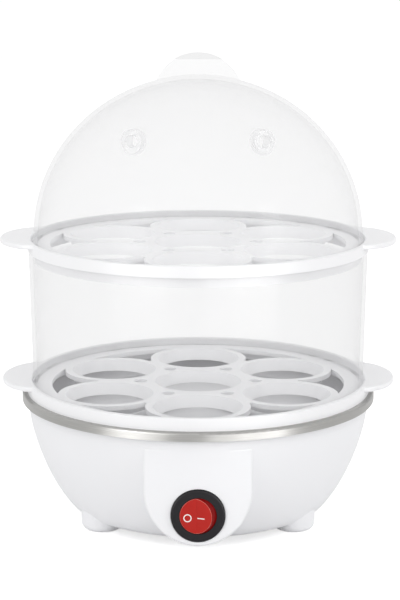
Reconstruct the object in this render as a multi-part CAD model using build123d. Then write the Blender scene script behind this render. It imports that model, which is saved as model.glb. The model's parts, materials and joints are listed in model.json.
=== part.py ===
from build123d import *
import math
import os

# A two-tier electric egg boiler. Millimetres, +Z up, front towards -Y.
# The origin is on the table, on the axis of the round body.

# ---- Base housing: a round moulded bowl ----
bowl_radius = 77.0          # outside, at the top
bowl_foot_radius = 55.6     # outside, at the bottom edge
bowl_foot_z = 4.0           # bottom edge above the table
shoulder_height = 6.0       # upright part of the side, below the top edge
bowl_roundness = 1.42       # exponent of the side's curve; 1 is a straight cone and 2 an ellipse
bowl_steps = 8
rim_z = 55.7                # top edge of the housing, under the steel flange
wall = 2.4                  # all moulded walls of the housing

foot_radius = 9.5
foot_rounding = 3.0
foot_inset = 3.6            # foot's centre inside the bowl's bottom edge
foot_angle = 35.2           # from the side towards the front and the back

ledge_radius = 34.0         # opening in the floor
ledge_width = 7.8           # seat that the bottom cover closes against
cover_gap = 0.2

screw_radius = 1.5
screw_head_radius = 2.9
screw_grip = 6.5            # thread length inside a post
post_wall = 2.0
cover_screw_count = 4

# ---- Switch boss and rocker switch ----
boss_half_width = 23.0
boss_bottom_z = 7.0
bezel_seat_depth = 1.2      # flat seat of the bezel behind the front of the bowl
boss_rounding = 1.4
switch_z = 20.7
panel_hole_radius = 10.1
fit_gap = 0.05              # pins and barrels in their holes
bezel_radius = 11.5
bezel_thickness = 1.8
bezel_rounding = 0.8
barrel_depth = 15.4
barrel_base = 2.0
clip_height = 0.8
clip_length = 3.0
clip_width = 6.0
rocker_radius = 9.1         # the rocker swings as part of a ball about its pivot
rocker_back = 2.0           # back of the ball part, in front of the pivot
rocker_tilt = 9.4           # each way from the middle
rocker_depth = 5.0          # from the pivot to the dip between the two faces
rocker_rounding = 0.4
rocker_gap = 0.25
pivot_inset = 3.1           # pivot behind the bezel's seat
pivot_radius = 1.4
pivot_hub_radius = 3.0
blade_width = 4.8
blade_thickness = 0.8
blade_pitch = 5.4
blade_length = 8.0
blade_inside = 1.0          # blade end inside the barrel
lamp_radius = 1.5
lamp_length = 8.0
lamp_rise = 5.6

# ---- Cord entry at the back ----
cord_z = 17.0
cord_boss_radius = 10.0
cord_boss_set_back = 5.0    # flat face inside the back of the bowl
cord_hole_radius = 5.5
cord_bore_radius = 3.6
gland_flange_radius = 7.5
gland_flange = 2.0
gland_inner_flange = 3.0
gland_inner_radius = 6.8

# ---- Heating plate and what hangs under it ----
flange_overhang = 3.0       # the bright steel band outside the bowl
gasket_thickness = 1.0
band_height = 3.8
band_rounding = 0.9
plate_sheet = 0.8
dish_depth = 10.0           # from the flange down to the water side of the floor
dish_slope_run = 7.5
dish_upright = 4.0
plate_gap = 0.3             # between the plate's wall and the housing
heater_radius = 45.0
heater_thickness = 3.0
element_ring_radius = 36.0
element_width = 6.6
element_gap_angle = 70.0    # open part of the horseshoe, at the back
element_pin_radius = 1.2
element_pin_length = 10.0
stud_radius = 2.0
stud_length = 14.0
nut_across_flats = 7.0
nut_height = 3.2
strap_end_gap = 10.0        # from the strap's end to the bowl's outside
strap_width = 14.0
strap_thickness = 1.2
strap_drop = 7.5            # strap below the heater disc
lug_length = 11.0
lug_width = 18.0
lug_height = 5.0
thermostat_y = 19.0
thermostat_radius = 8.0
thermostat_cap = 4.0
thermostat_body = 6.5
thermostat_flange_length = 32.0
thermostat_flange_width = 12.0
small_screw_radius = 1.4
small_screw_head = 2.6
small_screw_head_height = 1.4
small_screw_bite = 2.2
fuse_y = -19.0
fuse_radius = 2.3
fuse_length = 13.0
fuse_lead_radius = 0.5
fuse_lead_length = 5.0
clip_sheet = 0.8
fuse_clip_width = 6.0
fuse_clip_tab = 5.5

# ---- Terminal block and wires ----
block_x = 18.0
block_y = 8.4
block_height = 9.4
block_inset = 5.0           # block's centre behind the floor opening's edge
pole_x = 5.0
pole_rise = 5.0
pole_barrel_radius = 2.2
pole_barrel_hole = 1.3
clamp_screw_radius = 1.1
wire_radius = 1.0
wire_bend = 5.0
lead_in = 10.0              # straight wire out of a terminal
live_run_x = 16.0
live_run_back_y = 8.0
live_run_front_y = -22.0
neutral_turn_y = 8.0
fuse_bend_room = 9.0        # from the end of a fuse lead to where its wire turns
connector_width = 6.6
connector_thickness = 3.0
connector_length = 7.0
connector_crimp = 1.0       # closed end past the blade's tip

# ---- Trays ----
seat_margin = 4.2           # deck between an outer seat and the tray's lip
outer_seat_count = 6
seat_hole_radius = 17.0
seat_rim_radius = 19.5
seat_depth = 5.0
seat_wall = 1.8
web = 1.5                   # deck left round a seat beside a steam opening
steam_hole_radius = 3.0
deck_thickness = 2.0
ledge_step = 2.4            # deck top above the face that a tray stands on
ear_inset = 5.7             # centre of a grip's curve inside the lower rim
ear_reach = 17.0
ear_half_width = 25.5
ear_thickness = 2.3
ear_rounding = 0.7
tray_rim_rounding = 0.6

lower_rim_overhang = 4.7    # rim outside the lip
lower_rim_wall = 2.2
lower_rim_height = 5.6
lower_lip_gap = 0.5         # lip inside the plate's wall
lower_lip_wall = 2.0
lower_lip_depth = 3.0

upper_rim_overhang = 0.2    # rim outside the top of the ring
upper_rim_wall = 1.5
upper_rim_height = 5.2
upper_lip_gap = 0.9         # lip inside the ring
upper_lip_wall = 1.8
upper_lip_depth = 4.5

# ---- Clear middle ring and dome ----
ring_gap = 0.6              # ring's foot inside the lower tray's rim
ring_flare = 1.3            # top of the ring outside its foot
ring_wall = 1.8
ring_height = 62.1
dome_gap = 0.5              # dome's foot inside the upper tray's rim
dome_wall = 2.0
dome_foot_step = 0.6        # foot outside the wall above it
dome_foot_height = 2.8
dome_straight_height = 3.6
dome_rise = 71.0            # outside, from the top of the straight part to the crown
tab_radius = 20.5
tab_centre_drop = 10.7      # centre of the tab's arc below the crown
tab_thickness = 3.0
tab_rounding = 1.0
vent_drop = 23.6            # vent axis below the crown
vent_angle = 28.0           # each side of the front
vent_radius = 4.9
vent_hole_radius = 2.8
vent_proud = 0.24           # lowest point of a vent's mouth outside the dome there

# ---- Making ----
past = 1.0                  # how far a cut runs past a face

# ---- Derived heights and places ----
flange_under_z = rim_z + gasket_thickness
flange_top_z = flange_under_z + plate_sheet
bowl_shoulder_z = rim_z - shoulder_height
foot_circle_radius = bowl_foot_radius - foot_inset
foot_x = foot_circle_radius * math.cos(math.radians(foot_angle))
foot_y = foot_circle_radius * math.sin(math.radians(foot_angle))
bezel_seat_y = bezel_seat_depth - bowl_radius
boss_back_y = 2 * wall - bowl_foot_radius
cord_boss_face_y = bowl_radius - cord_boss_set_back
flange_radius = bowl_radius + flange_overhang
plate_floor_z = flange_top_z - dish_depth
plate_slope_top_z = flange_top_z - dish_upright
strap_length = 2 * (bowl_radius - strap_end_gap)
block_y_centre = ledge_radius + block_inset
floor_top_z = bowl_foot_z + wall
ledge_top_z = floor_top_z + wall
cover_radius = ledge_radius + ledge_width
band_bottom_z = flange_top_z - band_height
plate_wall_radius = bowl_radius - wall - plate_gap
dish_radius = plate_wall_radius - plate_sheet
plate_floor_radius = dish_radius - dish_slope_run
lower_lip_radius = dish_radius - lower_lip_gap
lower_rim_radius = lower_lip_radius + lower_rim_overhang
ear_centre_x = lower_rim_radius - ear_inset
seat_edge_radius = lower_lip_radius - lower_lip_wall - seat_margin - seat_wall
seat_circle_radius = seat_edge_radius - seat_rim_radius
steam_outer_radius = seat_edge_radius + web
ring_foot_radius = lower_rim_radius - lower_rim_wall - ring_gap
ring_top_radius = ring_foot_radius + ring_flare
upper_lip_radius = ring_top_radius - ring_wall - upper_lip_gap
upper_rim_radius = ring_top_radius + upper_rim_overhang
dome_foot_radius = upper_rim_radius - upper_rim_wall - dome_gap
dome_radius = dome_foot_radius - dome_foot_step
heater_top_z = plate_floor_z - plate_sheet
heater_under_z = heater_top_z - heater_thickness
strap_top_z = heater_under_z - strap_drop
pivot_y = bezel_seat_y + pivot_inset
bezel_front_y = bezel_seat_y - bezel_thickness
barrel_end_y = bezel_seat_y + barrel_depth
barrel_radius = panel_hole_radius - fit_gap
blade_end_y = barrel_end_y + blade_length
lower_deck_z = flange_top_z + ledge_step
ring_top_z = lower_deck_z + ring_height
upper_deck_z = ring_top_z + ledge_step
dome_spring_z = upper_deck_z + dome_straight_height
dome_crown_z = dome_spring_z + dome_rise
vent_z = dome_crown_z - vent_drop
vent_low_share = (vent_z - vent_radius - dome_spring_z) / dome_rise
vent_reach = dome_radius * math.sqrt(1 - vent_low_share ** 2) + vent_proud
pole_z = ledge_top_z + pole_rise
screw_circle_radius = ledge_radius + ledge_width / 2


def turned(*points):
    """A ring or disc turned about the vertical axis from (radius, height) corners."""
    return revolve(Plane.XZ * make_face(Polyline(*points, close=True)), axis=Axis.Z)


def rod(radius, start_z, end_z, x=0.0, y=0.0):
    """An upright cylinder between two heights."""
    return Pos(x, y, (start_z + end_z) / 2) * Cylinder(radius, end_z - start_z)


def rod_along_y(radius, start_y, end_y, x=0.0, z=0.0):
    """A cylinder that lies front to back."""
    return Pos(x, (start_y + end_y) / 2, z) * Rot(90, 0, 0) * Cylinder(radius, end_y - start_y)


def rod_along_x(radius, start_x, end_x, y=0.0, z=0.0):
    """A cylinder that lies left to right."""
    return Pos((start_x + end_x) / 2, y, z) * Rot(0, 90, 0) * Cylinder(radius, end_x - start_x)


def block(x_range, y_range, z_range):
    """A box between two corners, given as ranges."""
    size = [high - low for low, high in (x_range, y_range, z_range)]
    centre = [(high + low) / 2 for low, high in (x_range, y_range, z_range)]
    return Pos(*centre) * Box(*size)


def around(radius, count, start_angle):
    """Points spread evenly on a circle."""
    points = []
    for index in range(count):
        angle = math.radians(start_angle + 360.0 * index / count)
        points.append((radius * math.cos(angle), radius * math.sin(angle)))
    return points


# ---- Base housing ----

def bowl_side(inset):
    """Points down the bowl's side, from the shoulder to the bottom edge."""
    top_radius = bowl_radius - inset
    foot = bowl_foot_radius - inset
    points = []
    for step in range(bowl_steps + 1):
        turn = math.pi / 2 * step / bowl_steps
        across = math.cos(turn) ** (2 / bowl_roundness)
        down = math.sin(turn) ** (2 / bowl_roundness)
        radius = foot + (top_radius - foot) * across
        height = bowl_shoulder_z - (bowl_shoulder_z - bowl_foot_z) * down
        points.append((radius, height))
    return points


def bowl_solid(inset, top_z):
    """The bowl filled up to top_z, with its side moved in by inset."""
    side = bowl_side(inset)
    outline = Spline(*side)
    outline += Line(side[-1], (0, bowl_foot_z))
    outline += Line((0, bowl_foot_z), (0, top_z))
    outline += Line((0, top_z), (side[0][0], top_z))
    outline += Line((side[0][0], top_z), side[0])
    return revolve(Plane.XZ * make_face(outline), axis=Axis.Z)


def boss_solid(inset):
    """The switch boss: the bowl's upright side carried straight down, round at its bottom."""
    half_width = boss_half_width - inset
    centre_z = boss_bottom_z + boss_half_width
    outline = Pos(0, centre_z) * Circle(half_width)
    straight = bowl_shoulder_z - inset - centre_z
    outline += Pos(0, centre_z + straight / 2) * Rectangle(2 * half_width, straight)
    length = bowl_radius + boss_back_y + past
    prism = extrude(Plane.XZ.offset(-boss_back_y) * outline, amount=length)
    return prism & rod(bowl_radius - inset, 0, rim_z)


def base_housing():
    boss = boss_solid(0)
    front_edges = boss.faces().sort_by(Axis.Y)[0].edges().sort_by(Axis.Z)
    housing = bowl_solid(0, rim_z) + fillet(front_edges[:-1], boss_rounding)
    housing += rod_along_y(cord_boss_radius, bowl_foot_radius, cord_boss_face_y, z=cord_z)
    for x in (-foot_x, foot_x):
        for y in (-foot_y, foot_y):
            foot = rod(foot_radius, 0, floor_top_z + 2 * wall, x, y)
            housing += fillet(foot.edges().sort_by(Axis.Z)[0], foot_rounding)
    room = bowl_solid(wall, rim_z + past) & rod(bowl_radius, floor_top_z, rim_z + past)
    housing -= room
    housing -= boss_solid(wall)
    housing -= rod_along_y(bezel_radius + cover_gap, -bowl_radius - past, bezel_seat_y, z=switch_z)
    cord_room_back = cord_boss_face_y - wall
    housing -= rod_along_y(cord_boss_radius - wall, bowl_foot_radius - wall, cord_room_back, z=cord_z)
    housing -= rod_along_y(cord_hole_radius, cord_room_back - past, cord_boss_face_y + past, z=cord_z)
    housing -= rod_along_y(panel_hole_radius, bezel_seat_y - past, bezel_seat_y + wall + past, z=switch_z)
    for x in (-foot_x, foot_x):
        for y in (-foot_y, foot_y):
            housing -= rod(foot_radius - wall, wall, floor_top_z + wall, x, y)
    housing -= rod(cover_radius, 0, floor_top_z)
    housing += turned(
        (ledge_radius, floor_top_z),
        (cover_radius + wall, floor_top_z),
        (cover_radius + wall, ledge_top_z),
        (ledge_radius, ledge_top_z),
    )
    for x, y in around(screw_circle_radius, cover_screw_count, 45):
        housing += rod(screw_radius + post_wall, ledge_top_z, ledge_top_z + screw_grip, x, y)
        housing -= rod(screw_radius, floor_top_z - past, ledge_top_z + screw_grip - wall / 2, x, y)
    housing -= rod(small_screw_radius, floor_top_z, ledge_top_z, 0, block_y_centre)
    for side in (-1, 1):
        lug_end = side * bowl_radius
        lug_start = side * (strap_length / 2 - lug_length / 2)
        ends = (min(lug_start, lug_end), max(lug_start, lug_end))
        lug = block(ends, (-lug_width / 2, lug_width / 2), (strap_top_z, strap_top_z + lug_height))
        housing += lug & bowl_solid(wall / 2, rim_z)
    return housing


def bottom_cover():
    radius = cover_radius - cover_gap
    cover = turned((0, bowl_foot_z), (radius, bowl_foot_z), (radius, floor_top_z), (0, floor_top_z))
    for x, y in around(screw_circle_radius, cover_screw_count, 45):
        cover -= rod(screw_radius + cover_gap, bowl_foot_z, floor_top_z, x, y)
        cover -= countersink(x, y)
    return cover


def countersink(x, y):
    """The cone of a sunk screw head, flush with the outside of the cover."""
    depth = screw_head_radius - screw_radius
    cone = Cone(screw_head_radius, screw_radius, depth)
    return Pos(x, y, bowl_foot_z + depth / 2) * cone


def cover_screws():
    screws = []
    for x, y in around(screw_circle_radius, cover_screw_count, 45):
        tip_z = ledge_top_z + screw_grip - wall
        screws.append(countersink(x, y) + rod(screw_radius, bowl_foot_z, tip_z, x, y))
    return Compound(children=screws)


# ---- Heating plate and heater ----

def heating_plate():
    slope_shift = plate_sheet / 2
    plate = turned(
        (0, heater_top_z),
        (plate_floor_radius + slope_shift, heater_top_z),
        (plate_wall_radius, plate_slope_top_z - slope_shift),
        (plate_wall_radius, flange_under_z),
        (flange_radius - plate_sheet, flange_under_z),
        (flange_radius - plate_sheet, band_bottom_z),
        (flange_radius, band_bottom_z),
        (flange_radius, flange_top_z),
        (dish_radius, flange_top_z),
        (dish_radius, plate_slope_top_z),
        (plate_floor_radius, plate_floor_z),
        (0, plate_floor_z),
    )
    corner = plate.edges().filter_by_position(Axis.Z, flange_top_z, flange_top_z).sort_by(SortBy.LENGTH)
    return fillet(corner[-1], band_rounding)


def plate_gasket():
    return turned(
        (bowl_radius - wall, rim_z),
        (bowl_radius, rim_z),
        (bowl_radius, flange_under_z),
        (bowl_radius - wall, flange_under_z),
    )


def thermostat_screw_places():
    offset = (thermostat_radius + thermostat_flange_length / 2) / 2
    return [(-offset, thermostat_y), (offset, thermostat_y)]


def fuse_screw_place():
    return (0, fuse_y - fuse_radius - clip_sheet - fuse_clip_tab / 2)


def heater_disc():
    disc = rod(heater_radius, heater_under_z, heater_top_z)
    for x, y in thermostat_screw_places() + [fuse_screw_place()]:
        disc -= rod(small_screw_radius, heater_under_z, heater_under_z + small_screw_bite, x, y)
    return disc


def element_ends():
    start = 90 + element_gap_angle / 2
    ends = []
    for angle in (start, start - element_gap_angle):
        turn = math.radians(angle)
        ends.append((element_ring_radius * math.cos(turn), element_ring_radius * math.sin(turn)))
    return ends


def heating_element():
    """A horseshoe of sheathed element with a flat top, and a cold pin down from each end."""
    half = element_width / 2
    section = Pos(element_ring_radius, heater_under_z - half) * Circle(half)
    section += Pos(element_ring_radius, heater_under_z - half / 2) * Rectangle(element_width, half)
    ring = revolve(Plane.XZ * section, axis=Axis.Z, revolution_arc=360 - element_gap_angle)
    ring = Rot(0, 0, 90 + element_gap_angle / 2) * ring
    pin_top = heater_under_z - half
    for x, y in element_ends():
        cap = rod(half, pin_top - half, heater_under_z, x, y)
        ring += cap + rod(element_pin_radius, pin_top - half - element_pin_length, pin_top, x, y)
    return ring


def clamp_stud():
    return rod(stud_radius, heater_under_z - stud_length, heater_under_z)


def clamp_strap():
    """A steel strap that bears up on two lugs of the housing and pulls the plate down."""
    half_length = strap_length / 2
    half_width = strap_width / 2
    bottom_z = strap_top_z - strap_thickness
    strap = block((-half_length, half_length), (-half_width, half_width), (bottom_z, strap_top_z))
    strap = fillet(strap.edges().filter_by(Axis.Z), half_width / 2)
    return strap - rod(stud_radius + cover_gap, bottom_z, strap_top_z)


def clamp_nut():
    top_z = strap_top_z - strap_thickness
    hexagon = RegularPolygon(nut_across_flats / 2, 6, major_radius=False)
    nut = extrude(Plane.XY.offset(top_z - nut_height) * hexagon, amount=nut_height)
    return nut - rod(stud_radius + fit_gap, top_z - nut_height, top_z)


def thermostat():
    cap_bottom = heater_under_z - thermostat_cap
    body_bottom = cap_bottom - thermostat_body
    body = rod(thermostat_radius, cap_bottom, heater_under_z, 0, thermostat_y)
    body += rod(thermostat_radius - clip_sheet, body_bottom, cap_bottom, 0, thermostat_y)
    for x in (-pole_x, pole_x):
        blade_x = (x - blade_thickness / 2, x + blade_thickness / 2)
        blade_y = (thermostat_y - blade_width / 2, thermostat_y + blade_width / 2)
        body += block(blade_x, blade_y, (body_bottom - blade_length, body_bottom))
    return body


def thermostat_flange():
    """The steel ear plate that two screws pull up against the disc."""
    top_z = heater_under_z - clip_sheet
    half_length = thermostat_flange_length / 2
    half_width = thermostat_flange_width / 2
    ears = block(
        (-half_length, half_length),
        (thermostat_y - half_width, thermostat_y + half_width),
        (top_z - clip_sheet, top_z),
    )
    ears -= rod(thermostat_radius, top_z - clip_sheet, top_z, 0, thermostat_y)
    for x, y in thermostat_screw_places():
        ears -= rod(small_screw_radius, top_z - clip_sheet, top_z, x, y)
    return Compound(children=[solid for solid in ears.solids()])


def small_screw(x, y, head_z):
    """A screw driven up from below, with its head under head_z."""
    head = rod(small_screw_head, head_z - small_screw_head_height, head_z, x, y)
    return head + rod(small_screw_radius, head_z, heater_under_z + small_screw_bite, x, y)


def thermostat_screws():
    head_z = heater_under_z - 2 * clip_sheet
    return Compound(children=[small_screw(x, y, head_z) for x, y in thermostat_screw_places()])


def fuse_axis_z():
    return heater_under_z - fuse_radius - fit_gap


def thermal_fuse():
    half = fuse_length / 2
    z = fuse_axis_z()
    fuse = rod_along_x(fuse_radius, -half, half, fuse_y, z)
    return fuse + rod_along_x(fuse_lead_radius, -half - fuse_lead_length, half + fuse_lead_length, fuse_y, z)


def fuse_clip():
    """A saddle over the fuse with one screwed tab."""
    half_width = fuse_clip_width / 2
    reach = fuse_radius + fit_gap
    outer = reach + clip_sheet
    z = fuse_axis_z()
    x_range = (-half_width, half_width)
    saddle = block(x_range, (fuse_y - outer, fuse_y + outer), (z - outer, heater_under_z))
    saddle -= block(x_range, (fuse_y - reach, fuse_y + reach), (z - reach, heater_under_z))
    tab = (fuse_y - outer - fuse_clip_tab, fuse_y - outer)
    saddle += block(x_range, tab, (heater_under_z - clip_sheet, heater_under_z))
    x, y = fuse_screw_place()
    return saddle - rod(small_screw_radius, heater_under_z - clip_sheet, heater_under_z, x, y)


def fuse_clip_screw():
    x, y = fuse_screw_place()
    return small_screw(x, y, heater_under_z - clip_sheet)


# ---- Rocker switch ----

def switch_body():
    """Bezel and barrel in one moulding, snapped into the panel hole."""
    bezel = rod_along_y(bezel_radius, bezel_front_y, bezel_seat_y, z=switch_z)
    bezel = fillet(bezel.edges().sort_by(Axis.Y)[0], bezel_rounding)
    body = bezel + rod_along_y(barrel_radius, bezel_seat_y, barrel_end_y, z=switch_z)
    clip_start = bezel_seat_y + wall
    clip_top = barrel_radius + clip_height
    clips = rod_along_y(clip_top, clip_start, clip_start + clip_length, z=switch_z)
    clips &= block((-clip_top, clip_top), (clip_start, clip_start + clip_length),
                   (switch_z - clip_width / 2, switch_z + clip_width / 2))
    body += clips
    inside_end = barrel_end_y - barrel_base
    body -= rod_along_y(rocker_radius + rocker_gap, bezel_seat_y, inside_end, z=switch_z)
    body -= rod(pivot_radius + fit_gap, switch_z - barrel_radius - past,
                switch_z + barrel_radius + past, 0, pivot_y)
    mouth = Cone(ball_opening(bezel_seat_y), ball_opening(bezel_front_y), bezel_thickness)
    body -= Pos(0, (bezel_front_y + bezel_seat_y) / 2, switch_z) * Rot(90, 0, 0) * mouth
    for x in (-blade_pitch, 0, blade_pitch):
        body -= blade(x)
    return body


def ball_opening(y):
    """Radius of an opening at y that the rocker's ball swings through with a gap."""
    return math.sqrt(rocker_radius ** 2 - (pivot_y - y) ** 2) + rocker_gap


def switch_rocker():
    """Part of a ball with two shallow faces in front, on a cross pin; it stands switched off."""
    slope = math.tan(math.radians(rocker_tilt))
    far = 2 * rocker_radius
    outline = Polyline(
        (0, -rocker_depth),
        (far, -rocker_depth - far * slope),
        (far, -rocker_back),
        (-far, -rocker_back),
        (-far, -rocker_depth - far * slope),
        close=True,
    )
    rocker = Sphere(rocker_radius) & extrude(make_face(outline), amount=far, both=True)
    faces = rocker.faces().filter_by(GeomType.PLANE).sort_by(Axis.Y)[:2]
    rims = faces.edges().filter_by(GeomType.CIRCLE)
    rocker = fillet(rims, rocker_rounding)
    hub_end = rocker_radius / 2
    rocker += rod(pivot_hub_radius, -hub_end, hub_end)
    rocker += rod(pivot_radius, -barrel_radius + fit_gap, barrel_radius - fit_gap)
    return Pos(0, pivot_y, switch_z) * Rot(0, 0, -rocker_tilt) * rocker


def blade(x):
    """A push-on terminal blade through the base of the switch."""
    start_y = barrel_end_y - barrel_base - blade_inside
    z_range = (switch_z - blade_width / 2, switch_z + blade_width / 2)
    return block((x - blade_thickness / 2, x + blade_thickness / 2), (start_y, blade_end_y), z_range)


def switch_terminals():
    return Compound(children=[blade(x) for x in (-blade_pitch, 0, blade_pitch)])


def switch_lamp():
    y = barrel_end_y - barrel_base - lamp_radius - fit_gap
    half = lamp_length / 2
    lamp = rod_along_x(lamp_radius, -half, half, y, switch_z + lamp_rise)
    return fillet(lamp.edges().filter_by(GeomType.CIRCLE), lamp_radius / 2)


# ---- Cord gland, terminal block and wires ----

def cord_gland():
    inner_y = cord_boss_face_y - wall
    gland = rod_along_y(gland_flange_radius, cord_boss_face_y, cord_boss_face_y + gland_flange, z=cord_z)
    gland = fillet(gland.edges().sort_by(Axis.Y)[-1], gland_flange / 2)
    gland += rod_along_y(cord_hole_radius, inner_y, cord_boss_face_y, z=cord_z)
    gland += rod_along_y(gland_inner_radius, inner_y - gland_inner_flange, inner_y, z=cord_z)
    return gland - rod_along_y(cord_bore_radius, inner_y - gland_inner_flange,
                               cord_boss_face_y + gland_flange, z=cord_z)


def block_front_y():
    return block_y_centre - block_y / 2


def block_back_y():
    return block_y_centre + block_y / 2


def terminal_block():
    top_z = ledge_top_z + block_height
    body = block((-block_x / 2, block_x / 2), (block_front_y(), block_back_y()), (ledge_top_z, top_z))
    for x in (-pole_x, pole_x):
        body -= rod_along_y(pole_barrel_radius, block_front_y(), block_back_y(), x, pole_z)
        body -= rod(clamp_screw_radius, pole_z, top_z, x, block_y_centre)
    return body - rod(small_screw_radius, ledge_top_z, top_z, 0, block_y_centre)


def terminal_barrels():
    barrels = []
    for x in (-pole_x, pole_x):
        barrel = rod_along_y(pole_barrel_radius, block_front_y(), block_back_y(), x, pole_z)
        barrel -= rod_along_y(pole_barrel_hole, block_y_centre + clamp_screw_radius, block_back_y(),
                              x, pole_z)
        barrels.append(barrel - rod(clamp_screw_radius, pole_z, pole_z + block_height, x, block_y_centre))
    return Compound(children=barrels)


def terminal_screws():
    top_z = ledge_top_z + block_height
    return Compound(children=[rod(clamp_screw_radius, pole_z, top_z, x, block_y_centre)
                              for x in (-pole_x, pole_x)])


def block_screw():
    top_z = ledge_top_z + block_height
    head = rod(small_screw_head, top_z, top_z + small_screw_head_height, 0, block_y_centre)
    return head + rod(small_screw_radius, floor_top_z, top_z, 0, block_y_centre)


def spade_connectors():
    """Crimped receptacles pushed on to the switch and thermostat blades."""
    half_width = connector_width / 2
    half_thickness = connector_thickness / 2
    connectors = []
    for x in (-blade_pitch, 0):
        shell = block((x - half_thickness, x + half_thickness),
                      (switch_wire_y() - connector_length, switch_wire_y()),
                      (switch_z - half_width, switch_z + half_width))
        connectors.append(shell - blade(x))
    for x in (-pole_x, pole_x):
        shell = block((x - half_thickness, x + half_thickness),
                      (thermostat_y - half_width, thermostat_y + half_width),
                      (thermostat_wire_z(), thermostat_wire_z() + connector_length))
        connectors.append(shell - thermostat())
    return Compound(children=connectors)


def wire(*points):
    """An insulated wire of straight runs and round bends."""
    path = FilletPolyline(*points, radius=wire_bend)
    start = Plane(origin=path @ 0, z_dir=path % 0)
    return sweep(start * Circle(wire_radius), path=path)


def switch_wire_y():
    return blade_end_y + connector_crimp


def thermostat_wire_z():
    return heater_under_z - thermostat_cap - thermostat_body - blade_length - connector_crimp


def element_wire_z():
    return heater_under_z - element_width - element_pin_length


def live_wire():
    return wire(
        (-pole_x, block_front_y(), pole_z),
        (-pole_x, block_front_y() - lead_in, pole_z),
        (-live_run_x, live_run_back_y, pole_z),
        (-live_run_x, live_run_front_y, pole_z),
        (-blade_pitch, switch_wire_y() + lead_in, switch_z),
        (-blade_pitch, switch_wire_y(), switch_z),
    )


def switched_wire():
    return wire(
        (0, switch_wire_y(), switch_z),
        (0, switch_wire_y() + lead_in, switch_z),
        (0, switch_wire_y() + 3 * lead_in, pole_z + wire_radius),
        (-pole_x, thermostat_y, pole_z + wire_radius),
        (-pole_x, thermostat_y, thermostat_wire_z()),
    )


def thermostat_wire():
    x, y = element_ends()[1]
    low_z = thermostat_wire_z() - wire_bend - wire_radius
    return wire(
        (pole_x, thermostat_y, thermostat_wire_z()),
        (pole_x, thermostat_y, low_z),
        (x, y, low_z),
        (x, y, element_wire_z()),
    )


def fuse_lead_end():
    return fuse_length / 2 + fuse_lead_length


def neutral_wire():
    x = fuse_lead_end() + fuse_bend_room
    return wire(
        (pole_x, block_front_y(), pole_z),
        (pole_x, block_front_y() - lead_in, pole_z),
        (x, neutral_turn_y, pole_z - wire_radius),
        (x, fuse_y, switch_z),
        (x, fuse_y, fuse_axis_z()),
        (fuse_lead_end(), fuse_y, fuse_axis_z()),
    )


def fuse_wire():
    x, y = element_ends()[0]
    low_z = element_wire_z() - fuse_bend_room
    bend_x = -fuse_lead_end() - fuse_bend_room
    return wire(
        (-fuse_lead_end(), fuse_y, fuse_axis_z()),
        (bend_x, fuse_y, fuse_axis_z()),
        (bend_x, fuse_y, low_z),
        (x, y, low_z),
        (x, y, element_wire_z()),
    )


# ---- Trays, ring and dome ----

def seat_places():
    return [(0.0, 0.0)] + around(seat_circle_radius, outer_seat_count, 90)


def steam_openings(deck_z):
    """Three-sided openings between the outer seats, and a round hole inside each."""
    outline = Circle(steam_outer_radius) - Circle(seat_circle_radius)
    for x, y in seat_places():
        outline -= Pos(x, y) * Circle(seat_rim_radius + seat_wall + web)
    inner_circle = seat_circle_radius / math.sqrt(3)
    for x, y in around(inner_circle, outer_seat_count, 60):
        outline += Pos(x, y) * Circle(steam_hole_radius)
    return extrude(Plane.XY.offset(deck_z - 2 * deck_thickness) * outline, amount=3 * deck_thickness)


def ears(top_z, rim_inner_radius):
    """A flat rounded grip on each side, level with the top of the rim."""
    both = Part()
    for side in (-1, 1):
        outline = Pos(side * ear_centre_x, 0) * Ellipse(ear_reach, ear_half_width)
        ear = extrude(Plane.XY.offset(top_z - ear_thickness) * outline, amount=ear_thickness)
        both += fillet(ear.edges(), ear_rounding)
    return both - rod(rim_inner_radius, top_z - ear_thickness - past, top_z + past)


def tray(stand_z, rim_radius, rim_wall, rim_height, lip_radius, lip_wall, lip_depth):
    deck_z = stand_z + ledge_step
    deck_under = deck_z - deck_thickness
    rim_top = stand_z + rim_height
    body = turned(
        (0, deck_under),
        (lip_radius - lip_wall, deck_under),
        (lip_radius - lip_wall, stand_z - lip_depth),
        (lip_radius, stand_z - lip_depth),
        (lip_radius, stand_z),
        (rim_radius, stand_z),
        (rim_radius, rim_top),
        (rim_radius - rim_wall, rim_top),
        (rim_radius - rim_wall, deck_z),
        (0, deck_z),
    )
    top_edges = body.edges().filter_by_position(Axis.Z, rim_top, rim_top)
    body = fillet(top_edges, tray_rim_rounding)
    body += ears(rim_top, rim_radius - rim_wall / 2)
    slant = seat_rim_radius - seat_hole_radius
    seat_middle_z = deck_z - seat_depth / 2
    for x, y in seat_places():
        outer = Cone(seat_hole_radius + seat_wall, seat_hole_radius + slant + seat_wall, seat_depth)
        body += Pos(x, y, seat_middle_z) * outer
    for x, y in seat_places():
        body -= Pos(x, y, seat_middle_z) * Cone(seat_hole_radius, seat_rim_radius, seat_depth)
    return body - steam_openings(deck_z)


def lower_tray():
    return tray(flange_top_z, lower_rim_radius, lower_rim_wall, lower_rim_height,
                lower_lip_radius, lower_lip_wall, lower_lip_depth)


def upper_tray():
    return tray(ring_top_z, upper_rim_radius, upper_rim_wall, upper_rim_height,
                upper_lip_radius, upper_lip_wall, upper_lip_depth)


def middle_ring():
    return turned(
        (ring_foot_radius - ring_wall, lower_deck_z),
        (ring_foot_radius, lower_deck_z),
        (ring_top_radius, ring_top_z),
        (ring_top_radius - ring_wall, ring_top_z),
    )


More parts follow.
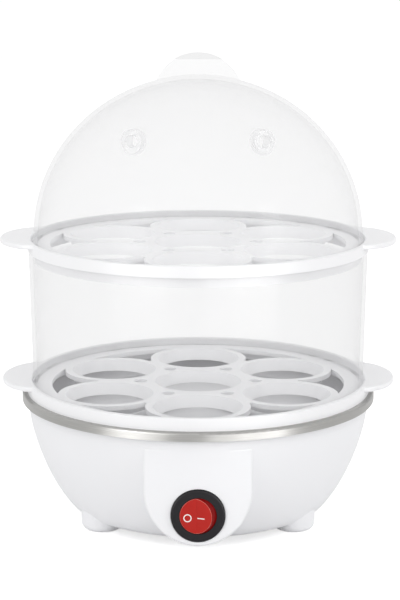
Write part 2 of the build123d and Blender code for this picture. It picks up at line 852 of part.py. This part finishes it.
def dome_shell(radius, crown_z, foot_radius):
    """The filled dome: a foot, a short straight part and an elliptical crown."""
    foot_top = upper_deck_z + dome_foot_height
    rise = crown_z - dome_spring_z
    quarter = Pos(0, dome_spring_z) * Ellipse(radius, rise)
    quarter &= Pos(radius / 2, dome_spring_z + rise / 2) * Rectangle(radius, rise)
    skirt = Polyline(
        (0, upper_deck_z),
        (foot_radius, upper_deck_z),
        (foot_radius, foot_top),
        (radius, foot_top + foot_radius - radius),
        (radius, dome_spring_z),
        (0, dome_spring_z),
        close=True,
    )
    return revolve(Plane.XZ * (quarter + make_face(skirt)), axis=Axis.Z)


def dome_tab():
    centre_z = dome_crown_z - tab_centre_drop
    disc = rod_along_y(tab_radius, -tab_thickness / 2, tab_thickness / 2, z=centre_z)
    return fillet(disc.edges().filter_by(GeomType.CIRCLE), tab_rounding)


def dome_lid():
    vent_start = vent_reach / 2
    lid = dome_shell(dome_radius, dome_crown_z, dome_foot_radius) + dome_tab()
    for angle in (-vent_angle, vent_angle):
        lid += Rot(0, 0, angle) * rod_along_y(vent_radius, -vent_reach, -vent_start, z=vent_z)
    for angle in (-vent_angle, vent_angle):
        lid -= Rot(0, 0, angle) * rod_along_y(vent_hole_radius, -vent_reach - past, -vent_start, z=vent_z)
    inner_foot = dome_radius - dome_wall + cover_gap
    return lid - dome_shell(dome_radius - dome_wall, dome_crown_z - dome_wall, inner_foot)


nodes = [
    base_housing, bottom_cover, cover_screws, heating_plate, plate_gasket, heater_disc, heating_element,
    clamp_stud, clamp_strap, clamp_nut, thermostat, thermostat_flange, thermostat_screws, thermal_fuse,
    fuse_clip, fuse_clip_screw, switch_body, switch_rocker, switch_terminals, switch_lamp, cord_gland,
    terminal_block, terminal_barrels, terminal_screws, block_screw, spade_connectors, live_wire,
    switched_wire, thermostat_wire, neutral_wire, fuse_wire, lower_tray, middle_ring, upper_tray, dome_lid,
]

os.makedirs("parts", exist_ok=True)
for node in nodes:
    export_step(node(), f"parts/{node.__name__}.step")
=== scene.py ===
import json
import math

import bpy
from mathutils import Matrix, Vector


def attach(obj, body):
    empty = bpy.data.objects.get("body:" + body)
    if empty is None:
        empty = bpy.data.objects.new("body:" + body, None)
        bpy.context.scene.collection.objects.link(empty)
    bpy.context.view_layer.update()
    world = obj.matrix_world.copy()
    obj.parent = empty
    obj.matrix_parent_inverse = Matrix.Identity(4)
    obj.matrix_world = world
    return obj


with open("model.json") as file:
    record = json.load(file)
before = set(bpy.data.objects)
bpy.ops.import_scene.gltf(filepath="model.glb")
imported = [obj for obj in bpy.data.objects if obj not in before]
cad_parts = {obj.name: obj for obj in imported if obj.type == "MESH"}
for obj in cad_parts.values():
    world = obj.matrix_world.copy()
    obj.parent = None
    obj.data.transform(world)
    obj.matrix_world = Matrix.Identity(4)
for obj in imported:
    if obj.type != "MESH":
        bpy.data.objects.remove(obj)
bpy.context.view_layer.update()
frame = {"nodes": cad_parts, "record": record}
nodes = frame["nodes"]

# ---- Driving values, in metres ----
picture_height = 600            # pixels
focal_pixels = 1812.0           # the photograph's focal length, in its own pixels
camera_x = 0.00085
camera_distance = 0.804         # in front of the object's axis
camera_height = 0.261
camera_tilt = 0.2006            # radians below level
sensor_height = 36.0            # millimetres, as Blender counts lenses

floor_reach = 3.0               # from the middle to each edge
floor_colour = (0.96, 0.96, 0.96)
world_strength = 0.85
world_glow = (0.17, 0.04, 0.14)     # extra light in the open, through clear plastic and mirrored
floor_glow = (0.6, 0.18, 0.1)       # the same for the floor
lamp_aim = (0.0, 0.0, 0.1)
lamps = (                       # name, azimuth, elevation, distance, size, power
    ("left_strip", -42.0, 12.0, 1.2, (0.3, 0.65), 2.35),
    ("right_strip", 53.0, 12.0, 1.2, (0.3, 0.65), 2.35),
    ("front_fill", 0.0, 40.0, 1.5, (1.0, 0.7), 0.5),
)
card_aim = (0.0, 0.0, 0.075)
card_distance = 0.42
card_height = 0.14
cards = (                       # bright cards to mirror in gloss and metal: name, azimuth, width, power
    ("left_card", -37.0, 0.28, 0.44),
    ("right_card", 37.5, 0.2, 0.43),
    ("front_card", 16.5, 0.16, 0.23),
)
moulded_clouds = 18.0           # textures' scales: colour in clouds, roughness in patches, bumps in grain
moulded_patches = 60.0
moulded_grain = 900.0
moulded_bump = (0.12, 0.00005)  # bumps are a strength and a height
metal_clouds = 90.0
metal_grain = 700.0
metal_bump = (0.2, 0.00003)
clear_clouds = 14.0
clear_patches = 45.0
clear_roughness = (0.08, 0.16)
clear_edge_power = 4.0          # higher keeps the thicker veil to walls seen more edge on
brush_lines = 2600.0            # brushed lines' scale out from the axis and up
brush_turn = 5.0                # and round it, the way they run
brush_bump = (0.15, 0.00002)
dish_radius = 0.0745            # the heating plate is brushed outside this, and lighter inside
dish_blend = 0.001
vent_centre = (0.0273, -0.0514, 0.1754)     # the right vent, and the left one mirrors it
vent_reach = 0.0058
vent_blend = 0.0003
vent_veil = 0.24                # more veil in the vents' thick bosses

rocker_clouds = 120.0
rocker_highlight_turn = (-0.94, -0.92)    # the normal's y, from the rocker's faces to their rims, which get a painted highlight
rocker_shade_turn = (-0.84, -0.78)   # and from the rims to its sides, which get painted shade
rocker_gloss = 0.12
rocker_dip = (-0.00082, -0.07763)   # where the rocker's two faces meet, switched off
rocker_fold = math.radians(18.8)    # the right face's turn from the left one
mark_line = 0.00045             # printed line on the rocker
mark_flatness = 0.25            # its height for its width
mark_z = 0.0199
off_mark_radius = 0.00152
off_mark_x = -0.0044
off_mark_steps = 40
on_mark_length = 0.0031
on_mark_reach = 0.0022          # its middle, along the right face from the dip


# ---- Camera, floor and light ----

def make_camera():
    """The photograph's camera."""
    data = bpy.data.cameras.new("camera")
    data.sensor_fit = "VERTICAL"
    data.sensor_height = sensor_height
    data.lens = focal_pixels / picture_height * sensor_height
    camera = bpy.data.objects.new("camera", data)
    camera.location = (camera_x, -camera_distance, camera_height)
    camera.rotation_euler = (math.pi / 2 - camera_tilt, 0.0, 0.0)
    bpy.context.collection.objects.link(camera)
    bpy.context.scene.camera = camera


def new_material(name):
    """A material with an empty node tree, and its links."""
    material = bpy.data.materials.new(name)
    material.use_nodes = True
    material.node_tree.nodes.clear()
    return material, material.node_tree.nodes, material.node_tree.links


def combined(tree, links, operation, first, second):
    """A math node's result from two values, each a socket or a number."""
    node = tree.new("ShaderNodeMath")
    node.operation = operation
    for socket, value in zip(node.inputs, (first, second)):
        if isinstance(value, (int, float)):
            socket.default_value = value
        else:
            links.new(value, socket)
    return node.outputs[0]


def background_glow(tree, links, glow):
    """Extra light for rays that show the background in the open, through clear plastic or mirrored."""
    in_open, through, mirrored = glow
    path = tree.new("ShaderNodeLightPath").outputs
    straight = combined(tree, links, "MAXIMUM", path["Is Camera Ray"], path["Is Transmission Ray"])
    layers = ranged(tree, links, path["Transparent Depth"], in_open, through)
    shown = combined(tree, links, "MULTIPLY", straight, layers)
    glossy = combined(tree, links, "MULTIPLY", path["Is Glossy Ray"], mirrored)
    return combined(tree, links, "ADD", shown, glossy)


def distance_out(tree, links):
    """How far a point is from the object's upright axis."""
    flat = tree.new("ShaderNodeVectorMath")
    flat.operation = "MULTIPLY"
    flat.inputs[1].default_value = (1, 1, 0)
    links.new(tree.new("ShaderNodeTexCoord").outputs["Object"], flat.inputs[0])
    length = tree.new("ShaderNodeVectorMath")
    length.operation = "LENGTH"
    links.new(flat.outputs["Vector"], length.inputs[0])
    return length.outputs["Value"]


def make_floor():
    """A white floor, brighter to the eye than as a light on the object."""
    mesh = bpy.data.meshes.new("floor")
    corners = [(-floor_reach, -floor_reach, 0), (floor_reach, -floor_reach, 0),
               (floor_reach, floor_reach, 0), (-floor_reach, floor_reach, 0)]
    mesh.from_pydata(corners, [], [(0, 1, 2, 3)])
    floor = bpy.data.objects.new("floor", mesh)
    bpy.context.collection.objects.link(floor)
    material, tree, links = new_material("floor_white")
    diffuse = tree.new("ShaderNodeBsdfDiffuse")
    diffuse.inputs["Color"].default_value = (*floor_colour, 1)
    glow = tree.new("ShaderNodeEmission")
    links.new(background_glow(tree, links, floor_glow), glow.inputs["Strength"])
    both = tree.new("ShaderNodeAddShader")
    links.new(diffuse.outputs[0], both.inputs[0])
    links.new(glow.outputs[0], both.inputs[1])
    output = tree.new("ShaderNodeOutputMaterial")
    links.new(both.outputs[0], output.inputs["Surface"])
    mesh.materials.append(material)
    return floor


def make_world():
    """An even white light from all round."""
    world = bpy.data.worlds.new("studio")
    world.use_nodes = True
    tree = world.node_tree.nodes
    links = world.node_tree.links
    tree.clear()
    background = tree.new("ShaderNodeBackground")
    background.inputs["Color"].default_value = (1, 1, 1, 1)
    strength = combined(tree, links, "ADD", background_glow(tree, links, world_glow), world_strength)
    links.new(strength, background.inputs["Strength"])
    output = tree.new("ShaderNodeOutputWorld")
    links.new(background.outputs[0], output.inputs["Surface"])
    bpy.context.scene.world = world


def make_lamp(name, place, target, size, power):
    """A rectangular lamp that faces the target and isn't seen itself."""
    data = bpy.data.lights.new(name, "AREA")
    data.shape = "RECTANGLE"
    data.size, data.size_y = size
    data.energy = power
    lamp = bpy.data.objects.new(name, data)
    lamp.location = place
    aim = Vector(target) - Vector(place)
    lamp.rotation_euler = aim.to_track_quat("-Z", "Y").to_euler()
    bpy.context.collection.objects.link(lamp)
    lamp.visible_camera = False
    return lamp


def place_at(target, azimuth, elevation, distance):
    """A point that far from the target: azimuth 0 is the front, and positive is to its right."""
    turn = math.radians(azimuth)
    rise = math.radians(elevation)
    level = distance * math.cos(rise)
    return (level * math.sin(turn), -level * math.cos(turn), target[2] + distance * math.sin(rise))


def make_lights(floor):
    """Lamps and cards. The lamps miss the floor, so that it is as bright in front of the object as behind."""
    unlit = bpy.data.collections.new("not_lit_by_lamps")
    unlit.objects.link(floor)
    unlit.collection_objects[0].light_linking.link_state = "EXCLUDE"
    for name, azimuth, elevation, distance, size, power in lamps:
        lamp = make_lamp(name, place_at(lamp_aim, azimuth, elevation, distance), lamp_aim, size, power)
        lamp.light_linking.receiver_collection = unlit
    for name, azimuth, width, power in cards:
        place = place_at(card_aim, azimuth, 0.0, card_distance)
        card = make_lamp(name, place, card_aim, (width, card_height), power)
        card.visible_diffuse = False
        card.visible_transmission = False


# ---- Materials ----

def noise(tree, links, scale, detail=2.0, vector=None):
    """Noise in the object's coordinates, or in those of the vector."""
    node = tree.new("ShaderNodeTexNoise")
    node.inputs["Scale"].default_value = scale
    node.inputs["Detail"].default_value = detail
    if vector is None:
        vector = tree.new("ShaderNodeTexCoord").outputs["Object"]
    links.new(vector, node.inputs["Vector"])
    return node.outputs["Fac"]


def ranged(tree, links, value, low, high, start=0.0, end=1.0):
    """The value mapped from start..end to low..high, and held at both ends."""
    node = tree.new("ShaderNodeMapRange")
    node.inputs["From Min"].default_value = start
    node.inputs["From Max"].default_value = end
    node.inputs["To Min"].default_value = low
    node.inputs["To Max"].default_value = high
    links.new(value, node.inputs["Value"])
    return node.outputs["Result"]


def tinted(tree, links, value, low, high):
    """A mix of two colours, each a socket or red, green and blue."""
    node = tree.new("ShaderNodeMix")
    node.data_type = "RGBA"
    links.new(value, node.inputs["Factor"])
    for socket, colour in ((node.inputs["A"], low), (node.inputs["B"], high)):
        if isinstance(colour, tuple):
            socket.default_value = (*colour, 1)
        else:
            links.new(colour, socket)
    return node.outputs["Result"]


def bumped(tree, links, value, strength, distance):
    """Normals bent by the value as a height."""
    node = tree.new("ShaderNodeBump")
    node.inputs["Strength"].default_value = strength
    node.inputs["Distance"].default_value = distance
    links.new(value, node.inputs["Height"])
    return node.outputs["Normal"]


def principled(tree, links):
    """A Principled shader, linked to the output."""
    shader = tree.new("ShaderNodeBsdfPrincipled")
    output = tree.new("ShaderNodeOutputMaterial")
    links.new(shader.outputs[0], output.inputs["Surface"])
    return shader


def add_skin(tree, links, shader, roughness):
    """The slightly uneven gloss and skin of a moulding."""
    patch = noise(tree, links, moulded_patches, detail=4.0)
    links.new(ranged(tree, links, patch, *roughness), shader.inputs["Roughness"])
    skin = noise(tree, links, moulded_grain, detail=3.0)
    links.new(bumped(tree, links, skin, *moulded_bump), shader.inputs["Normal"])


def moulded(name, low, high, roughness, **extra):
    """Moulded plastic or rubber, with a slightly uneven colour."""
    material, tree, links = new_material(name)
    shader = principled(tree, links)
    cloud = noise(tree, links, moulded_clouds)
    links.new(tinted(tree, links, cloud, low, high), shader.inputs["Base Color"])
    add_skin(tree, links, shader, roughness)
    for socket, value in extra.items():
        shader.inputs[socket.replace("_", " ")].default_value = value
    return material


def round_vents(tree, links):
    """1 in the thick bosses of the dome's two steam vents, and 0 elsewhere."""
    split = tree.new("ShaderNodeSeparateXYZ")
    links.new(tree.new("ShaderNodeTexCoord").outputs["Object"], split.inputs[0])
    join = tree.new("ShaderNodeCombineXYZ")
    links.new(combined(tree, links, "ABSOLUTE", split.outputs["X"], 0.0), join.inputs[0])
    links.new(split.outputs["Y"], join.inputs[1])
    links.new(split.outputs["Z"], join.inputs[2])
    apart = tree.new("ShaderNodeVectorMath")
    apart.operation = "DISTANCE"
    apart.inputs[1].default_value = vent_centre
    links.new(join.outputs[0], apart.inputs[0])
    return ranged(tree, links, apart.outputs["Value"], 1.0, 0.0, vent_reach, vent_reach + vent_blend)


def rocker_red(low, high, rim, side_shade, roughness):
    """Glossy red, with a painted highlight round the rocker's two faces and painted shade on its sides."""
    material, tree, links = new_material("red_rocker")
    shader = principled(tree, links)
    split = tree.new("ShaderNodeSeparateXYZ")
    links.new(tree.new("ShaderNodeTexCoord").outputs["Normal"], split.inputs[0])
    facing = split.outputs["Y"]
    colour = tinted(tree, links, noise(tree, links, rocker_clouds), low, high)
    # painted highlight on the faces' rims, then painted shade on the sides
    for turn, next_colour in ((rocker_highlight_turn, rim), (rocker_shade_turn, side_shade)):
        colour = tinted(tree, links, ranged(tree, links, facing, 0.0, 1.0, *turn), colour, next_colour)
    links.new(colour, shader.inputs["Base Color"])
    add_skin(tree, links, shader, roughness)
    shader.inputs["Specular IOR Level"].default_value = rocker_gloss
    return material


def clear_plastic(name, low, high, edge_colour, face_on, edge_on):
    """Clear moulding: a milky veil, thicker and darker on walls seen edge on, that lets all light in."""
    material, tree, links = new_material(name)
    shader = principled(tree, links)
    facing = tree.new("ShaderNodeLayerWeight").outputs["Facing"]
    turned = combined(tree, links, "POWER", facing, clear_edge_power)
    milk = tinted(tree, links, noise(tree, links, clear_clouds), low, high)
    links.new(tinted(tree, links, turned, milk, edge_colour), shader.inputs["Base Color"])
    patch = noise(tree, links, clear_patches, detail=4.0)
    links.new(ranged(tree, links, patch, *clear_roughness), shader.inputs["Roughness"])
    wall = ranged(tree, links, turned, face_on, edge_on)
    bosses = combined(tree, links, "MULTIPLY", round_vents(tree, links), vent_veil)
    veil = combined(tree, links, "ADD", wall, bosses)
    shadow = tree.new("ShaderNodeLightPath").outputs["Is Shadow Ray"]
    seen = ranged(tree, links, shadow, 1.0, 0.0)
    links.new(combined(tree, links, "MULTIPLY", veil, seen), shader.inputs["Alpha"])
    return material


def around_axis(tree, links):
    """Coordinates for brushed rings: out from the object's axis, round it and up."""
    split = tree.new("ShaderNodeSeparateXYZ")
    links.new(tree.new("ShaderNodeTexCoord").outputs["Object"], split.inputs[0])
    angle = combined(tree, links, "ARCTAN2", split.outputs["Y"], split.outputs["X"])
    join = tree.new("ShaderNodeCombineXYZ")
    out = distance_out(tree, links)
    up = split.outputs["Z"]
    scales = ((out, brush_lines), (angle, brush_turn), (up, brush_lines))
    for socket, (value, scale) in zip(join.inputs, scales):
        links.new(combined(tree, links, "MULTIPLY", value, scale), socket)
    return join.outputs[0]


def brushed_ring(name, low, high, dish_colour, roughness):
    """Steel brushed round the object's axis, with a lighter dish inside its rim."""
    material, tree, links = new_material(name)
    shader = principled(tree, links)
    shader.inputs["Metallic"].default_value = 1.0
    shader.inputs["Anisotropic"].default_value = 0.8
    shader.inputs["Anisotropic Rotation"].default_value = 0.25
    tangent = tree.new("ShaderNodeTangent")
    tangent.axis = "Z"
    links.new(tangent.outputs[0], shader.inputs["Tangent"])
    lines = noise(tree, links, 1.0, detail=3.0, vector=around_axis(tree, links))
    brushed = tinted(tree, links, lines, low, high)
    out = distance_out(tree, links)
    in_dish = ranged(tree, links, out, 1.0, 0.0, dish_radius, dish_radius + dish_blend)
    links.new(tinted(tree, links, in_dish, brushed, dish_colour), shader.inputs["Base Color"])
    links.new(ranged(tree, links, lines, *roughness), shader.inputs["Roughness"])
    links.new(bumped(tree, links, lines, *brush_bump), shader.inputs["Normal"])
    return material


def metal(name, low, high, roughness, grain=metal_grain):
    """Plain metal with a fine uneven surface."""
    material, tree, links = new_material(name)
    shader = principled(tree, links)
    shader.inputs["Metallic"].default_value = 1.0
    cloud = noise(tree, links, metal_clouds, detail=4.0)
    links.new(tinted(tree, links, cloud, low, high), shader.inputs["Base Color"])
    links.new(ranged(tree, links, cloud, *roughness), shader.inputs["Roughness"])
    skin = noise(tree, links, grain, detail=3.0)
    links.new(bumped(tree, links, skin, *metal_bump), shader.inputs["Normal"])
    return material


def dress():
    """A finished material on every CAD node, by the record's slots. Colours run from low to high."""
    finishes = {
        "white_housing": moulded("white_housing", (0.86, 0.862, 0.88), (0.89, 0.892, 0.91), (0.29, 0.36)),
        "white_tray": moulded("white_tray", (0.88, 0.88, 0.895), (0.91, 0.91, 0.92), (0.3, 0.38)),
        "clear_plastic": clear_plastic("clear_plastic", (0.8, 0.8, 0.81), (0.86, 0.86, 0.87),
                                       (0.68, 0.68, 0.69), 0.09, 0.34),
        "stainless_plate": brushed_ring("stainless_plate", (0.34, 0.335, 0.325), (0.5, 0.495, 0.48),
                                        (0.74, 0.74, 0.75), (0.3, 0.42)),
        "screw_steel": metal("screw_steel", (0.5, 0.5, 0.51), (0.66, 0.66, 0.67), (0.3, 0.42)),
        "zinc_steel": metal("zinc_steel", (0.55, 0.56, 0.58), (0.68, 0.69, 0.7), (0.3, 0.45)),
        "silicone": moulded("silicone", (0.72, 0.72, 0.7), (0.78, 0.78, 0.76), (0.5, 0.65)),
        "cast_aluminium": metal("cast_aluminium", (0.66, 0.66, 0.67), (0.76, 0.76, 0.77), (0.4, 0.55),
                                grain=300.0),
        "element_sheath": metal("element_sheath", (0.3, 0.3, 0.3), (0.45, 0.44, 0.42), (0.4, 0.55)),
        "phenolic": moulded("phenolic", (0.05, 0.04, 0.04), (0.09, 0.07, 0.06), (0.4, 0.5)),
        "fuse_sleeve": moulded("fuse_sleeve", (0.78, 0.77, 0.7), (0.88, 0.87, 0.8), (0.6, 0.75)),
        "black_plastic": moulded("black_plastic", (0.007, 0.006, 0.008), (0.012, 0.011, 0.013), (0.35, 0.45),
                                 Specular_IOR_Level=0.25),
        # red of the faces, painted highlight on their rims, painted shade on the sides, roughness
        "red_rocker": rocker_red((0.42, 0.018, 0.014), (0.5, 0.026, 0.02), (0.75, 0.2, 0.16),
                                 (0.22, 0.002, 0.002), (0.08, 0.14)),
        "brass_contacts": metal("brass_contacts", (0.72, 0.55, 0.26), (0.82, 0.66, 0.35), (0.3, 0.42)),
        "lamp_glass": moulded("lamp_glass", (0.85, 0.6, 0.5), (0.9, 0.7, 0.6), (0.05, 0.1), Alpha=0.5),
        "gland_rubber": moulded("gland_rubber", (0.8, 0.8, 0.8), (0.85, 0.85, 0.85), (0.5, 0.6)),
        "nylon": moulded("nylon", (0.84, 0.84, 0.8), (0.9, 0.9, 0.86), (0.4, 0.5)),
        "wire_brown": moulded("wire_brown", (0.22, 0.1, 0.05), (0.28, 0.13, 0.07), (0.35, 0.45)),
        "wire_blue": moulded("wire_blue", (0.03, 0.12, 0.42), (0.05, 0.16, 0.5), (0.35, 0.45)),
    }
    for part in frame["record"]["subparts"]:
        finish = finishes[part["material_slot"]]
        for material_slot in nodes[part["node"]].material_slots:
            material_slot.material = finish


# ---- Printed marks on the rocker ----

def add_mark(name, points, closed, centre, turn, finish):
    """A printed line that lies on one face of the rocker; its points run across and up that face."""
    curve = bpy.data.curves.new(name, "CURVE")
    curve.dimensions = "3D"
    curve.bevel_depth = mark_line / 2
    curve.bevel_resolution = 3
    curve.use_fill_caps = True
    spline = curve.splines.new("POLY")
    spline.points.add(len(points) - 1)
    for point, (across, up) in zip(spline.points, points):
        point.co = (across, 0.0, up, 1.0)
    spline.use_cyclic_u = closed
    curve.materials.append(finish)
    mark = bpy.data.objects.new(name, curve)
    mark.location = (centre[0], centre[1], mark_z)
    mark.rotation_euler = (0.0, 0.0, turn)
    mark.scale = (1.0, mark_flatness, 1.0)
    bpy.context.collection.objects.link(mark)
    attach(mark, "rocker")


def mark_rocker():
    """The circle of off on the rocker's left face, and the line of on on its right one."""
    finish = moulded("printed_marks", (0.86, 0.84, 0.83), (0.93, 0.92, 0.91), (0.4, 0.5))
    circle = []
    for step in range(off_mark_steps):
        angle = 2 * math.pi * step / off_mark_steps
        circle.append((off_mark_radius * math.cos(angle), off_mark_radius * math.sin(angle)))
    add_mark("off_mark", circle, True, (off_mark_x, rocker_dip[1]), 0.0, finish)
    line = [(-on_mark_length / 2, 0.0), (on_mark_length / 2, 0.0)]
    x = rocker_dip[0] + on_mark_reach * math.cos(rocker_fold)
    y = rocker_dip[1] - on_mark_reach * math.sin(rocker_fold)
    add_mark("on_mark", line, False, (x, y), -rocker_fold, finish)


make_camera()
make_world()
make_lights(make_floor())
dress()
mark_rocker()

bpy.context.scene.view_settings.view_transform = "Standard"
